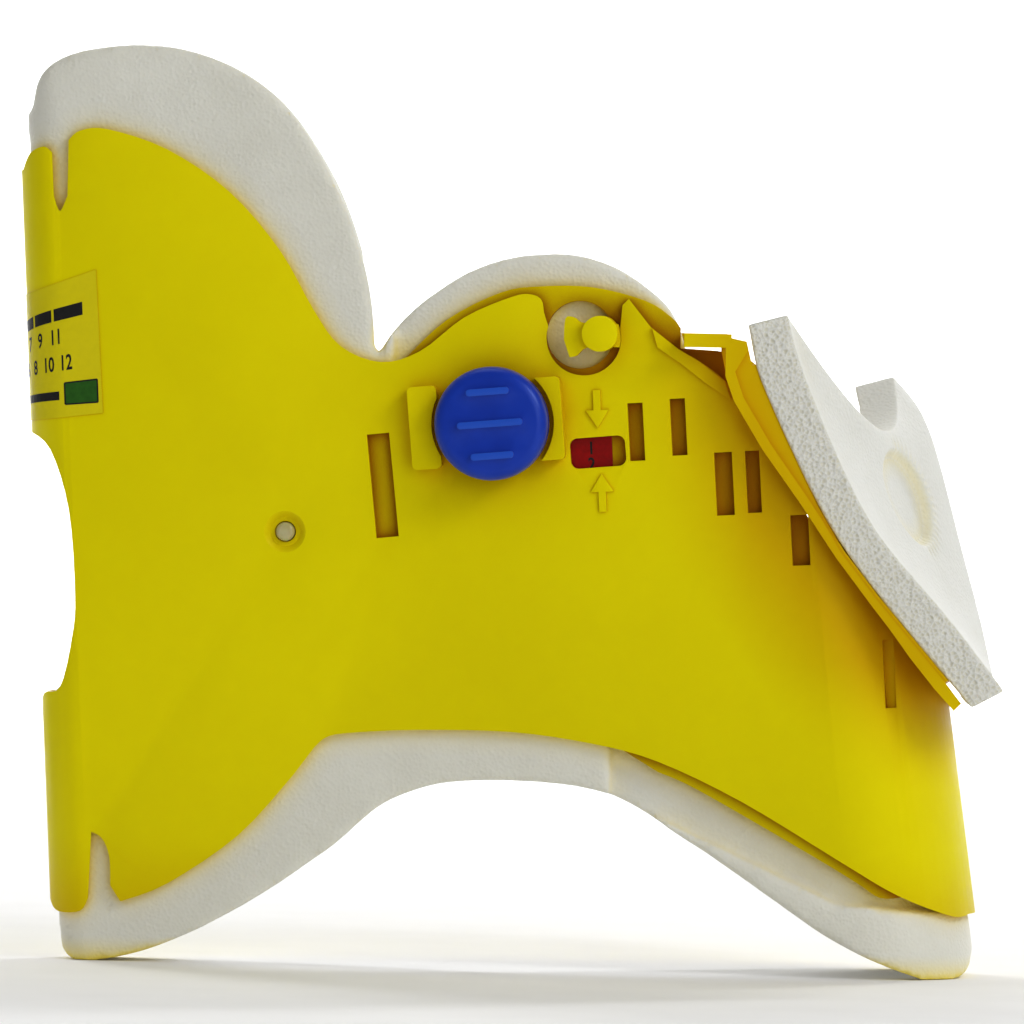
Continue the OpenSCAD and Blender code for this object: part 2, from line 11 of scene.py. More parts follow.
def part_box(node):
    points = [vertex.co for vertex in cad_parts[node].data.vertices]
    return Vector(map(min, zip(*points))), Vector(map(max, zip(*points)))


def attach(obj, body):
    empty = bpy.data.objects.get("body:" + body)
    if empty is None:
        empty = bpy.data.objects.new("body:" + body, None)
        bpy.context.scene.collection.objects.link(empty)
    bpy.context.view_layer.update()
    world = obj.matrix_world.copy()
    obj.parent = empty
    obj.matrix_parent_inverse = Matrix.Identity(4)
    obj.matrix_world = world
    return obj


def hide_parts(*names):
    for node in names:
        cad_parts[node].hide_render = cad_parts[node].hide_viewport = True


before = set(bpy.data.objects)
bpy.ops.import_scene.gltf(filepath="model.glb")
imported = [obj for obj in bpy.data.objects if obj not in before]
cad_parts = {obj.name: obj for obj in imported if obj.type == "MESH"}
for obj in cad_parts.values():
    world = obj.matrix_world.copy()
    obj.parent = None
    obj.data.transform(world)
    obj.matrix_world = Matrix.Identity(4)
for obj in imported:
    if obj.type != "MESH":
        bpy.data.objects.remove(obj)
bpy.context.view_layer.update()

MM = 0.001

# ---- The collar's folded loop, as the CAD source has it, in millimetres -------------------

BACK_EDGE = -86.0        # X of the back fold's outer face at floor level
BACK_R = 8.5             # outer radius of the back fold
BACK_LEAN = 0.0583       # how far the back fold leans back per mm of height
SPLAY = math.radians(5.5)
FLAT_ANGLE = 1.5 * math.pi - SPLAY      # outward direction of the near wall


def back_centre(z):
    return BACK_EDGE - BACK_LEAN * z + BACK_R


def loop_place(s, z, height):
    """A point near the near wall: s mm along the outer face from where the back fold ends,
    at level z, height mm above the face. Negative s runs round the fold."""
    r = BACK_R + height
    centre = Vector((back_centre(z), 0, z))
    if s >= 0:
        out = Vector((math.cos(FLAT_ANGLE), math.sin(FLAT_ANGLE), 0))
        along = Vector((-out.y, out.x, 0))
        return (centre + out * r + along * s) * MM
    turn = FLAT_ANGLE + s / BACK_R
    return (centre + Vector((math.cos(turn), math.sin(turn), 0)) * r) * MM


def wall_place(x, z, height):
    """The point over (x, z) on the flat near wall, height mm above its outer face."""
    s = (x - back_centre(z) + BACK_R * math.sin(SPLAY)) / math.cos(SPLAY)
    return loop_place(s, z, height)


LOCK = (-3.3, 104.3)     # X and Z of the near lock on the wall
BUTTON_TOP = 8.6         # height of a lock button's top above the wall

# ---- Node graph helpers -------------------------------------------------------------------

# A Mix node has sockets of the same name for each kind of data; these are its colour ones
MIX_A = 6
MIX_B = 7
MIX_RESULT = 2


def new_material(name, colour, roughness):
    """A material and its Principled shader."""
    mat = bpy.data.materials.new(name)
    mat.use_nodes = True
    bsdf = mat.node_tree.nodes["Principled BSDF"]
    bsdf.inputs["Base Color"].default_value = (*colour, 1)
    bsdf.inputs["Roughness"].default_value = roughness
    return mat, bsdf


def add(mat, kind, **settings):
    """A new node of this kind, with its settings made."""
    node = mat.node_tree.nodes.new(kind)
    for key, value in settings.items():
        setattr(node, key, value)
    return node


def link(mat, a, a_socket, b, b_socket):
    """Wires an output of node a, by name or index, to an input of node b."""
    mat.node_tree.links.new(a.outputs[a_socket], b.inputs[b_socket])


def object_coords(mat):
    return add(mat, "ShaderNodeTexCoord")


def noise_node(mat, coords, scale, detail=3.0, rough=0.5):
    node = add(mat, "ShaderNodeTexNoise")
    node.inputs["Scale"].default_value = scale
    node.inputs["Detail"].default_value = detail
    node.inputs["Roughness"].default_value = rough
    link(mat, coords, "Object", node, "Vector")
    return node


def voronoi_node(mat, coords, scale, feature):
    node = add(mat, "ShaderNodeTexVoronoi", feature=feature)
    node.inputs["Scale"].default_value = scale
    link(mat, coords, "Object", node, "Vector")
    return node


def ramp(mat, source, socket, stops):
    """A colour ramp over a value; stops are (position, colour)."""
    node = add(mat, "ShaderNodeValToRGB")
    elements = node.color_ramp.elements
    while len(elements) < len(stops):
        elements.new(0.5)
    for element, (position, colour) in zip(elements, stops):
        element.position = position
        element.color = (*colour, 1)
    link(mat, source, socket, node, "Fac")
    return node


def value_range(mat, source, socket, low, high, from_low=0.0, from_high=1.0):
    node = add(mat, "ShaderNodeMapRange")
    node.inputs["From Min"].default_value = from_low
    node.inputs["From Max"].default_value = from_high
    node.inputs["To Min"].default_value = low
    node.inputs["To Max"].default_value = high
    link(mat, source, socket, node, "Value")
    return node


def bumped(mat, bsdf, layers):
    """Chains bump nodes into the shader. layers are (node, socket, strength, distance in mm)."""
    previous = None
    for source, socket, strength, distance in layers:
        bump = add(mat, "ShaderNodeBump")
        bump.inputs["Strength"].default_value = strength
        bump.inputs["Distance"].default_value = distance * MM
        link(mat, source, socket, bump, "Height")
        if previous:
            link(mat, previous, "Normal", bump, "Normal")
        previous = bump
    link(mat, previous, "Normal", bsdf, "Normal")


def mix_colour(mat, factor, factor_socket, a, b):
    """Mixes two colours, each a tuple or a (node, socket) pair."""
    node = add(mat, "ShaderNodeMix", data_type="RGBA")
    link(mat, factor, factor_socket, node, "Factor")
    for value, index in ((a, MIX_A), (b, MIX_B)):
        if isinstance(value[0], float):
            node.inputs[index].default_value = (*value, 1)
        else:
            link(mat, *value, node, index)
    return node


# ---- Materials ----------------------------------------------------------------------------


def sheltered(mat, reach, power=1.0):
    """1 in the open, falling to 0 in corners and gaps narrower than reach mm."""
    node = add(mat, "ShaderNodeAmbientOcclusion", samples=6)
    node.inputs["Distance"].default_value = reach * MM
    curve = add(mat, "ShaderNodeMath", operation="POWER")
    curve.inputs[1].default_value = power
    link(mat, node, "AO", curve, 0)
    return curve


def product(mat, a, a_socket, b, b_socket):
    node = add(mat, "ShaderNodeMath", operation="MULTIPLY")
    link(mat, a, a_socket, node, 0)
    link(mat, b, b_socket, node, 1)
    return node


CHIN_EDGE_SIDE = (0.79, 0, 0.61)     # across the folded chin rest's edge, in the wall's plane
CHIN_SHADE = 0.62                    # how much of the painted orange shade the wall takes in the chin rest's painted shadow


def painted_chin_shadow(mat, coords):
    """Painted shadow of the chin rest: CHIN_SHADE on the wall's upper front, close below the chin rest,
    fading to 0 away from it.
    """
    parts = add(mat, "ShaderNodeSeparateXYZ")
    link(mat, coords, "Object", parts, "Vector")
    towards = add(mat, "ShaderNodeVectorMath", operation="DOT_PRODUCT")
    towards.inputs[1].default_value = CHIN_EDGE_SIDE
    link(mat, coords, "Object", towards, 0)
    near_edge = value_range(mat, towards, "Value", 0.0, CHIN_SHADE, 72 * MM, 90 * MM)
    ahead = value_range(mat, parts, "X", 0.0, 1.0, 22 * MM, 46 * MM)
    above = value_range(mat, parts, "Z", 0.0, 1.0, 36 * MM, 60 * MM)
    return product(mat, product(mat, near_edge, "Result", ahead, "Result"), "Value", above, "Result")


def polyethylene(name, bright, deep, shade_orange, shade_power):
    """Satin moulded plastic: faint mottling, a fine matt skin, painted orange shade in its gaps and corners,
    standing in for light passed through the yellow more than once, and a painted shadow beside the chin rest."""
    mat, bsdf = new_material(name, bright, 0.42)
    coords = object_coords(mat)
    cloud = noise_node(mat, coords, 22, 4, 0.55)
    mottle = ramp(mat, cloud, "Fac", [(0.30, deep), (0.68, bright)])
    # Painted orange shade: gaps and corners take the orange shade colour, as in shadow lit through the
    # yellow.
    gaps = sheltered(mat, 25, shade_power)
    open_colour = mix_colour(mat, gaps, "Value", shade_orange, (mottle, "Color"))
    # Painted shadow of the chin rest on the wall's upper front.
    shade = painted_chin_shadow(mat, coords)
    colour = mix_colour(mat, shade, "Value", (open_colour, MIX_RESULT), shade_orange)
    link(mat, colour, MIX_RESULT, bsdf, "Base Color")
    scuffs = noise_node(mat, coords, 160, 5, 0.65)
    rough = value_range(mat, scuffs, "Fac", 0.36, 0.52, 0.3, 0.7)
    link(mat, rough, "Result", bsdf, "Roughness")
    skin = noise_node(mat, coords, 1500, 2, 0.5)
    bumped(mat, bsdf, [(cloud, "Fac", 0.10, 0.6), (skin, "Fac", 0.14, 0.05)])
    bsdf.inputs["Subsurface Weight"].default_value = 0.12
    bsdf.inputs["Subsurface Radius"].default_value = (0.9, 0.6, 0.05)
    bsdf.inputs["Subsurface Scale"].default_value = 0.0015
    bsdf.inputs["IOR"].default_value = 1.3
    bsdf.inputs["Specular IOR Level"].default_value = 0.35
    bsdf.inputs["Specular Tint"].default_value = (1.0, 0.93, 0.15, 1)
    return mat


PEBBLE_SCALE = 1500      # pebbles of the foam's skin, per metre
CELL_SCALE = 1250        # open cells of its cut edges, per metre


def foam_material(name, white, shade, cell_shade):
    """Foam: a pebbled skin, open cells where the attribute cut is 1, their pits painted darker as shade,
    and painted yellow bounce light from the plastic in its gaps and corners."""
    mat, bsdf = new_material(name, white, 0.62)
    coords = object_coords(mat)
    pebble = voronoi_node(mat, coords, PEBBLE_SCALE, "SMOOTH_F1")
    pebble.inputs["Smoothness"].default_value = 0.5
    broad = noise_node(mat, coords, 60, 4, 0.6)
    cells = voronoi_node(mat, coords, CELL_SCALE, "F1")
    cell_walls = voronoi_node(mat, coords, CELL_SCALE, "DISTANCE_TO_EDGE")
    cut = add(mat, "ShaderNodeAttribute", attribute_name="cut")
    skin_colour = ramp(mat, broad, "Fac", [(0.25, shade), (0.75, white)])
    # The open cells' pits are painted darker, as shade in the pores.
    cell_colour = ramp(mat, cell_walls, "Distance", [(0.03, white), (0.30, cell_shade)])
    colour = mix_colour(mat, cut, "Fac", (skin_colour, "Color"), (cell_colour, "Color"))
    # Painted yellow bounce light: gaps and corners narrower than 5 mm take a yellow, standing in for light
    # off the plastic.
    gaps = sheltered(mat, 5, 1.8)
    tinted = mix_colour(mat, gaps, "Value", (0.90, 0.72, 0.06), (colour, MIX_RESULT))
    link(mat, tinted, MIX_RESULT, bsdf, "Base Color")
    pits = product(mat, cells, "Distance", cut, "Fac")
    bumped(mat, bsdf, [(broad, "Fac", 0.25, 0.8), (pebble, "Distance", 0.6, 0.22),
                       (pits, "Value", 0.8, 0.5)])
    bsdf.inputs["Subsurface Weight"].default_value = 0.25
    bsdf.inputs["Subsurface Radius"].default_value = (1.0, 0.95, 0.8)
    bsdf.inputs["Subsurface Scale"].default_value = 0.002
    bsdf.inputs["Sheen Weight"].default_value = 0.15
    bsdf.inputs["Sheen Roughness"].default_value = 0.5
    bsdf.inputs["Specular IOR Level"].default_value = 0.45
    return mat


def button_material():
    """Glossy blue; its raised ribs, the part furthest out from the wall, carry a painted highlight in lighter
    blue.
    """
    mat, bsdf = new_material("button_blue", (0.006, 0.035, 0.36), 0.3)
    coords = object_coords(mat)
    cloud = noise_node(mat, coords, 120, 3)
    blue = ramp(mat, cloud, "Fac", [(0.3, (0.004, 0.026, 0.33)), (0.7, (0.006, 0.036, 0.42))])
    parts = add(mat, "ShaderNodeSeparateXYZ")
    link(mat, coords, "Object", parts, "Vector")
    depth = add(mat, "ShaderNodeMath", operation="ABSOLUTE")
    link(mat, parts, "Y", depth, 0)
    slope = add(mat, "ShaderNodeMath", operation="MULTIPLY_ADD")
    slope.inputs[1].default_value = -math.tan(SPLAY)
    link(mat, parts, "X", slope, 0)
    link(mat, depth, "Value", slope, 2)
    lock = wall_place(*LOCK, BUTTON_TOP)
    top = abs(lock.y) - math.tan(SPLAY) * lock.x
    # Painted highlight: the ribs' tops, furthest out from the wall, are coloured lighter blue.
    ribs = value_range(mat, slope, "Value", 0.0, 1.0, top + 0.25 * MM, top + 0.55 * MM)
    colour = mix_colour(mat, ribs, "Result", (blue, "Color"), (0.016, 0.078, 0.54))
    link(mat, colour, MIX_RESULT, bsdf, "Base Color")
    rough = value_range(mat, cloud, "Fac", 0.26, 0.38)
    link(mat, rough, "Result", bsdf, "Roughness")
    skin = noise_node(mat, coords, 1800, 2)
    bumped(mat, bsdf, [(skin, "Fac", 0.15, 0.04)])
    bsdf.inputs["Subsurface Weight"].default_value = 0.05
    bsdf.inputs["Subsurface Scale"].default_value = 0.001
    bsdf.inputs["Specular Tint"].default_value = (0.35, 0.5, 1.0, 1)
    return mat


def clear_material():
    """Slightly yellowed clear plastic, with a cloudy body."""
    mat, bsdf = new_material("clear_plastic", (0.62, 0.55, 0.22), 0.22)
    coords = object_coords(mat)
    cloud = noise_node(mat, coords, 300, 3)
    colour = ramp(mat, cloud, "Fac", [(0.3, (0.52, 0.44, 0.13)), (0.7, (0.70, 0.66, 0.36))])
    link(mat, colour, "Color", bsdf, "Base Color")
    bumped(mat, bsdf, [(cloud, "Fac", 0.2, 0.1)])
    bsdf.inputs["Transmission Weight"].default_value = 0.25
    bsdf.inputs["Subsurface Weight"].default_value = 0.3
    bsdf.inputs["Subsurface Scale"].default_value = 0.001
    return mat


def print_material(name, colour, roughness=0.35, evenness=0.75):
    """Ink or film: slightly uneven cover."""
    mat, bsdf = new_material(name, colour, roughness)
    coords = object_coords(mat)
    bsdf.inputs["Specular IOR Level"].default_value = 0.15
    cover = noise_node(mat, coords, 700, 4, 0.7)
    darker = tuple(evenness * c for c in colour)
    shade = ramp(mat, cover, "Fac", [(0.35, darker), (0.6, colour)])
    link(mat, shade, "Color", bsdf, "Base Color")
    bumped(mat, bsdf, [(cover, "Fac", 0.08, 0.02)])
    return mat


def tape_material(name, colour, threads):
    """Woven tape: two crossed sets of ribs, and fibre noise."""
    mat, bsdf = new_material(name, colour, 0.85)
    coords = object_coords(mat)
    warp = add(mat, "ShaderNodeTexWave", bands_direction="X")
    weft = add(mat, "ShaderNodeTexWave", bands_direction="Z")
    for wave in (warp, weft):
        wave.inputs["Scale"].default_value = threads
        wave.inputs["Distortion"].default_value = 1.5
        wave.inputs["Detail"].default_value = 2.0
        link(mat, coords, "Object", wave, "Vector")
    fibre = noise_node(mat, coords, 2500, 3)
    light = tuple(min(1.0, 1.9 * c + 0.01) for c in colour)
    shade = ramp(mat, fibre, "Fac", [(0.35, colour), (0.75, light)])
    link(mat, shade, "Color", bsdf, "Base Color")
    bumped(mat, bsdf, [(warp, "Fac", 0.5, 0.25), (weft, "Fac", 0.4, 0.2), (fibre, "Fac", 0.4, 0.15)])
    bsdf.inputs["Sheen Weight"].default_value = 0.4
    return mat


# Linear colours, picked so that the lit render has the photographed tones
# Each plastic's third colour is its painted orange shade in gaps and corners; the number after it sets how
# strongly that shade shows.
YELLOW = polyethylene("shell_yellow", (0.80, 0.70, 0.001), (0.75, 0.645, 0.001),
                      (0.52, 0.22, 0.001), 1.2)
# The inner parts behind the shell take a darker copy of the shell's yellow as painted shade, and a deeper,
# stronger painted orange shade in their slots and gaps.
INNER_YELLOW_SHADED = polyethylene("inner_yellow_shaded", (0.76, 0.63, 0.001), (0.70, 0.55, 0.001),
                            (0.32, 0.10, 0.001), 3.4)
FOAM = foam_material("lining_foam", (0.80, 0.795, 0.71), (0.72, 0.71, 0.62), (0.62, 0.60, 0.50))
CHIN_FOAM = foam_material("chin_foam", (0.74, 0.74, 0.69), (0.68, 0.68, 0.62), (0.66, 0.64, 0.52))
BLUE = button_material()
CLEAR = clear_material()
LABEL_FILM = print_material("label_film", (0.70, 0.60, 0.003), 0.24, 0.96)
INK_BLACK = print_material("ink_black", (0.012, 0.012, 0.012))
INK_GREEN = print_material("ink_green", (0.02, 0.10, 0.008))
INK_RED = print_material("ink_red", (0.28, 0.001, 0.0005))
STRAP_TAPE = tape_material("strap_tape", (0.018, 0.018, 0.021), 900)
LOOP_TAPE = tape_material("loop_tape", (0.035, 0.035, 0.038), 1500)
THREAD = tape_material("thread", (0.30, 0.29, 0.26), 2500)

NODE_MATERIALS = {
    "collar_shell": YELLOW,
    "far_back_shell": YELLOW,
    "front_liner": INNER_YELLOW_SHADED,
    "slot_liner": INNER_YELLOW_SHADED,
    "lock_bracket_near": YELLOW,
    "lock_bracket_far": YELLOW,
    "size_chart_label": LABEL_FILM,
    "foam_rivet_near": CLEAR,
    "foam_rivet_far": CLEAR,
    "cannula_hook_near": YELLOW,
    "cannula_hook_far": YELLOW,
    "loop_patch": LOOP_TAPE,
    "hook_patch": STRAP_TAPE,
    "closure_strap": STRAP_TAPE,
    "strap_rivets": CLEAR,
    "chin_wing_near": INNER_YELLOW_SHADED,
    "chin_wing_far": INNER_YELLOW_SHADED,
    "number_label_near": INK_RED,
    "number_label_far": INK_RED,
    "chin_plate": YELLOW,
    "lock_button_near": BLUE,
    "lock_button_far": BLUE,
    "lock_pawl_near": BLUE,
    "lock_pawl_far": BLUE,
}

# Rounding of the moulded edges, in millimetres, where it isn't the usual one
EDGE_ROUNDING = {"size_chart_label": 0.0, "number_label_near": 0.0, "number_label_far": 0.0,
                 "lock_button_near": 0.3, "lock_button_far": 0.3, "closure_strap": 0.25}
USUAL_ROUNDING = 0.4


# ---- Mesh finishing -----------------------------------------------------------------------


def geometry_group(name, build):
    """A geometry nodes group with one geometry in and out; build wires what is between them."""
    group = bpy.data.node_groups.new(name, "GeometryNodeTree")
    group.interface.new_socket("Geometry", in_out="INPUT", socket_type="NodeSocketGeometry")
    group.interface.new_socket("Geometry", in_out="OUTPUT", socket_type="NodeSocketGeometry")
    start = group.nodes.new("NodeGroupInput")
    end = group.nodes.new("NodeGroupOutput")
    last = build(group, start.outputs[0])
    group.links.new(last, end.inputs[0])
    return group


def build_weld(group, geometry):
    """Drops imported normals and joins the faces' shared corners."""
    drop = group.nodes.new("GeometryNodeRemoveAttribute")
    drop.inputs["Name"].default_value = "custom_normal"
    weld = group.nodes.new("GeometryNodeMergeByDistance")
    weld.inputs["Distance"].default_value = 0.004 * MM
    group.links.new(geometry, drop.inputs["Geometry"])
    group.links.new(drop.outputs["Geometry"], weld.inputs["Geometry"])
    return weld.outputs["Geometry"]


def build_smooth(group, geometry):
    """Smooth faces, with a sharp edge wherever two faces meet at more than the limit."""
    limit = math.radians(28)
    faces = group.nodes.new("GeometryNodeSetShadeSmooth")
    faces.domain = "FACE"
    edges = group.nodes.new("GeometryNodeSetShadeSmooth")
    edges.domain = "EDGE"
    edges.inputs["Shade Smooth"].default_value = False
    angle = group.nodes.new("GeometryNodeInputMeshEdgeAngle")
    compare = group.nodes.new("FunctionNodeCompare")
    compare.operation = "GREATER_THAN"
    compare.inputs["B"].default_value = limit
    group.links.new(angle.outputs["Unsigned Angle"], compare.inputs["A"])
    group.links.new(compare.outputs["Result"], edges.inputs["Selection"])
    group.links.new(geometry, faces.inputs["Geometry"])
    group.links.new(faces.outputs["Geometry"], edges.inputs["Geometry"])
    return edges.outputs["Geometry"]


WELD = geometry_group("weld_faces", build_weld)
SMOOTH = geometry_group("smooth_by_angle", build_smooth)


def add_nodes_modifier(obj, group):
    mod = obj.modifiers.new(group.name, "NODES")
    mod.node_group = group


def set_material(obj, mat):
    obj.data.materials.clear()
    obj.data.materials.append(mat)


def finish_node(name, mat):
    """Gives a kept CAD node its material, rounded edges and smooth curves."""
    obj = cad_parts[name]
    for slot in obj.material_slots:
        slot.material = mat
    rounding = EDGE_ROUNDING.get(name, USUAL_ROUNDING)
    add_nodes_modifier(obj, WELD)
    if rounding:
        bevel = obj.modifiers.new("rounded_edges", "BEVEL")
        bevel.width = rounding * MM
        bevel.segments = 2
        bevel.limit_method = "ANGLE"
        bevel.angle_limit = math.radians(38)
    add_nodes_modifier(obj, SMOOTH)


for node_name, node_material in NODE_MATERIALS.items():
    finish_node(node_name, node_material)


# ---- Soft foam ----------------------------------------------------------------------------


def evaluated_copy(obj, name):
    """A new mesh object with obj's modifiers applied."""
    depsgraph = bpy.context.evaluated_depsgraph_get()
    mesh = bpy.data.meshes.new_from_object(obj.evaluated_get(depsgraph))
    copy = bpy.data.objects.new(name, mesh)
    bpy.context.scene.collection.objects.link(copy)
    return copy


def remeshed(node, name, voxel, rounds, factor=0.6):
    """A rounded, evenly meshed copy of a CAD solid, for foam to be shaped from."""
    source = evaluated_copy(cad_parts[node], name + "_source")
    add_nodes_modifier(source, WELD)
    remesh = source.modifiers.new("even_mesh", "REMESH")
    remesh.mode = "VOXEL"
    remesh.voxel_size = voxel * MM
    relax = source.modifiers.new("rounded", "SMOOTH")
    relax.factor = factor
    relax.iterations = rounds
    piece = evaluated_copy(source, name)
    bpy.data.objects.remove(source)
    for polygon in piece.data.polygons:
        polygon.use_smooth = True
    return piece


def swell_and_dent(piece, depth):
    """Uneven thickness of die-cut foam: a slow wave over the skin, depth mm either way."""
    mesh = piece.data
    for vertex, normal in zip(mesh.vertices, [n.vector.copy() for n in mesh.vertex_normals]):
        wave = noise.noise(vertex.co / MM * 0.06) + 0.5 * noise.noise(vertex.co / MM * 0.17)
        vertex.co += normal * wave * depth * MM


def mark_cut_edges(piece, is_cut):
    """Writes the attribute cut: 1 where the foam's open cells show, 0 on its smooth skin."""
    mesh = piece.data
    cut = mesh.attributes.new("cut", "FLOAT", "POINT")
    normals = [n.vector.copy() for n in mesh.vertex_normals]
    for vertex, normal, value in zip(mesh.vertices, normals, cut.data):
        value.value = is_cut(vertex.co, normal)


def lining(node, name, body):
    """A foam lining: its skins are the faces along the wall, its rims are die cut."""
    piece = remeshed(node, name, 0.8, 5)
    swell_and_dent(piece, 0.14)
    mark_cut_edges(piece, lambda place, normal: 0.35 * max(0.0, abs(normal.z) - 0.55) / 0.45)
    set_material(piece, FOAM)
    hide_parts(node)
    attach(piece, body)


lining("collar_foam", "collar_foam_lining", "collar")
lining("far_back_foam", "far_back_foam_lining", "far_back")


def subdivided(node, name, levels):
    """A finely divided copy of a CAD solid: its facets are evened into smooth skins, and its
    outer edges stay as crisp as cut foam."""
    piece = evaluated_copy(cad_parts[node], name)
    bm = bmesh.new()
    bm.from_mesh(piece.data)
    bmesh.ops.remove_doubles(bm, verts=bm.verts[:], dist=0.004 * MM)
    bmesh.ops.join_triangles(bm, faces=bm.faces[:], angle_face_threshold=math.radians(25),
                             angle_shape_threshold=math.radians(60))
    crease = bm.edges.layers.float.new("crease_edge")
    for edge in bm.edges:
        if edge.calc_face_angle(0) > math.radians(42):
            edge[crease] = 0.82
    bm.to_mesh(piece.data)
    bm.free()
    even = piece.modifiers.new("even_skin", "SUBSURF")
    even.levels = levels
    even.render_levels = levels
    fine = evaluated_copy(piece, name)
    bpy.data.objects.remove(piece)
    fine.name = name
    for polygon in fine.data.polygons:
        polygon.use_smooth = True
    return fine


def hollow_out(piece, middle, half_width, half_length, depth):
    """Presses an oval hollow into the front skin, with fine wrinkles round its far side."""
    wrinkles_round = 42
    wrinkle_depth = 0.13 * MM
    normals = [n.vector.copy() for n in piece.data.vertex_normals]
    for vertex, normal in zip(piece.data.vertices, normals):
        across = (vertex.co.y - middle.y) / half_width
        along = (vertex.co.z - middle.z) / half_length
        reach = math.hypot(across, along)
        if normal.x < 0.2 or reach > 1.5:
            continue
        slope = min(1.0, max(0.0, (1.08 - reach) / 0.22))
        vertex.co -= normal * depth * slope * slope * (3 - 2 * slope)
        if across > 0:
            fade = max(0.0, 1.0 - abs(reach - 1.12) / 0.3)
            turn = math.atan2(along, across)
            vertex.co += normal * wrinkle_depth * math.sin(turn * wrinkles_round) * fade


def chin_pad():
    """The chin rest's foam: smooth skins, open-celled cut edges, and an oval hollow in its valley."""
    piece = subdivided("chin_pad", "chin_foam_pad", 4)
    low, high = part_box("chin_pad")
    half = (high[1] - low[1]) / 2
    hollow_out(piece, Vector((72.0, 4.5, 91.5)) * MM, 8.0 * MM, 9.0 * MM, 1.8 * MM)
    swell_and_dent(piece, 0.08)
    edge_band = 1.5 * MM

    def on_cut_edge(place, normal):
        if abs(place.y) <= half - edge_band:
            return 0.0
        return min(1.0, max(0.0, (abs(normal.y) - 0.75) / 0.2))

    mark_cut_edges(piece, on_cut_edge)
    set_material(piece, CHIN_FOAM)
    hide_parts("chin_pad")
    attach(piece, "chin_rest")


chin_pad()


# ---- Print on the label and behind the windows --------------------------------------------


def placed_print(name, bm, place, mat, body):
    """Ends a print: its flat mesh in (s, z) mm is laid where place says, and joins the scene."""
    for vertex in bm.verts:
        vertex.co = place(vertex.co.x, vertex.co.y)
    mesh = bpy.data.meshes.new(name)
    bm.to_mesh(mesh)
    bm.free()
    obj = bpy.data.objects.new(name, mesh)
    bpy.context.scene.collection.objects.link(obj)
    set_material(obj, mat)
    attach(obj, body)


def flat_piece(name, outlines, place, mat, body):
    """Thin print: outlines in (s, z) mm are filled, cut fine enough to bend, and placed."""
    first_cut = 0.8
    longest_edge = 1.28
    bm = bmesh.new()
    for outline in outlines:
        corners = [bm.verts.new((s, z, 0)) for s, z in outline]
        bm.faces.new(corners)
    bmesh.ops.triangulate(bm, faces=bm.faces[:])
    long_edges = [e for e in bm.edges if e.calc_length() > first_cut]
    while long_edges:
        bmesh.ops.subdivide_edges(bm, edges=long_edges, cuts=1)
        bmesh.ops.triangulate(bm, faces=bm.faces[:])
        long_edges = [e for e in bm.edges if e.calc_length() > longest_edge]
    placed_print(name, bm, place, mat, body)


def digits(name, words, size, narrow, place, mat, body):
    """Numbers as flat print; words are (text, s, z), and narrow scales their width."""
    bm = bmesh.new()
    for text, s, z in words:
        curve = bpy.data.curves.new(name + "_text", "FONT")
        curve.body = text
        curve.size = size
        curve.align_x = "CENTER"
        curve.align_y = "CENTER"
        curve.resolution_u = 3
        curve.offset = 0.02 * size
        source = bpy.data.objects.new(name + "_text", curve)
        bpy.context.scene.collection.objects.link(source)
        bpy.context.view_layer.update()
        mesh = bpy.data.meshes.new_from_object(source)
        mesh.transform(Matrix.Translation((s, z, 0)) @ Matrix.Diagonal((narrow, 1, 1, 1)))
        bm.from_mesh(mesh)
        bpy.data.objects.remove(source)
    bmesh.ops.triangulate(bm, faces=bm.faces[:])
    placed_print(name, bm, place, mat, body)


PRINT_LIFT = 0.23        # just above the label film


def on_label(s, z):
    """The print's lines rise towards the front, the upper ones more than the lower ones."""
    rise = 0.11 + 0.0105 * (z - 108)
    return loop_place(s, z + rise * s, PRINT_LIFT)


def bar(left, right, z, tall):
    """Corners of a bar between two places along the label's line at level z."""
    return [(left, z - tall / 2), (right, z - tall / 2), (right, z + tall / 2), (left, z + tall / 2)]


def size_chart():
    """The size chart's print: three bars, two rows of sizes, a green box and a plain bar."""
    bars = [bar(-10.7, -7.4, 123.7, 2.4), bar(-6.9, -2.8, 123.7, 2.4), bar(-2.3, 3.3, 123.7, 2.4)]
    flat_piece("chart_bars", bars, on_label, INK_BLACK, "collar")
    left, right, z, tall, line = -0.7, 5.6, 108.3, 4.1, 0.3
    edges = [bar(left, right, z - tall / 2, line), bar(left, right, z + tall / 2, line),
             bar(left - line / 2, left + line / 2, z, tall), bar(right - line / 2, right + line / 2, z, tall)]
    flat_piece("chart_box_frame", edges, on_label, INK_BLACK, "collar")
    green = bar(left + line / 2, right - line / 2, z, tall - line)
    flat_piece("chart_green_box", [green], on_label, INK_GREEN, "collar")
    flat_piece("chart_plain_bar", [bar(-10.5, -1.8, 108.0, 1.7)], on_label, INK_BLACK, "collar")
    upper = [("7", -8.9, 119.3), ("9", -5.6, 119.3), ("11", -2.1, 119.3)]
    lower = [("6", -10.3, 114.1), ("8", -7.2, 114.1), ("10", -3.8, 114.1), ("12", -0.3, 114.1)]
    digits("chart_numbers", upper + lower, 4.1, 0.6, on_label, INK_BLACK, "collar")


size_chart()

WINDOW = (16.5, 99.2)    # X and Z of the near number window on the wall
PITCH = 3.0              # slide travel between two settings
SETTINGS = 12
STRIP_DEPTH = -1.76      # just above the printed strip, under the shell


def on_strip(side):
    """Places print on the near (side 1) or far (side -1) number strip, which leans with the wall."""
    def place(x, z):
        point = wall_place(side * x - BACK_LEAN * (z - WINDOW[1]), z, STRIP_DEPTH)
        return Vector((point.x, side * point.y, point.z))
    return place


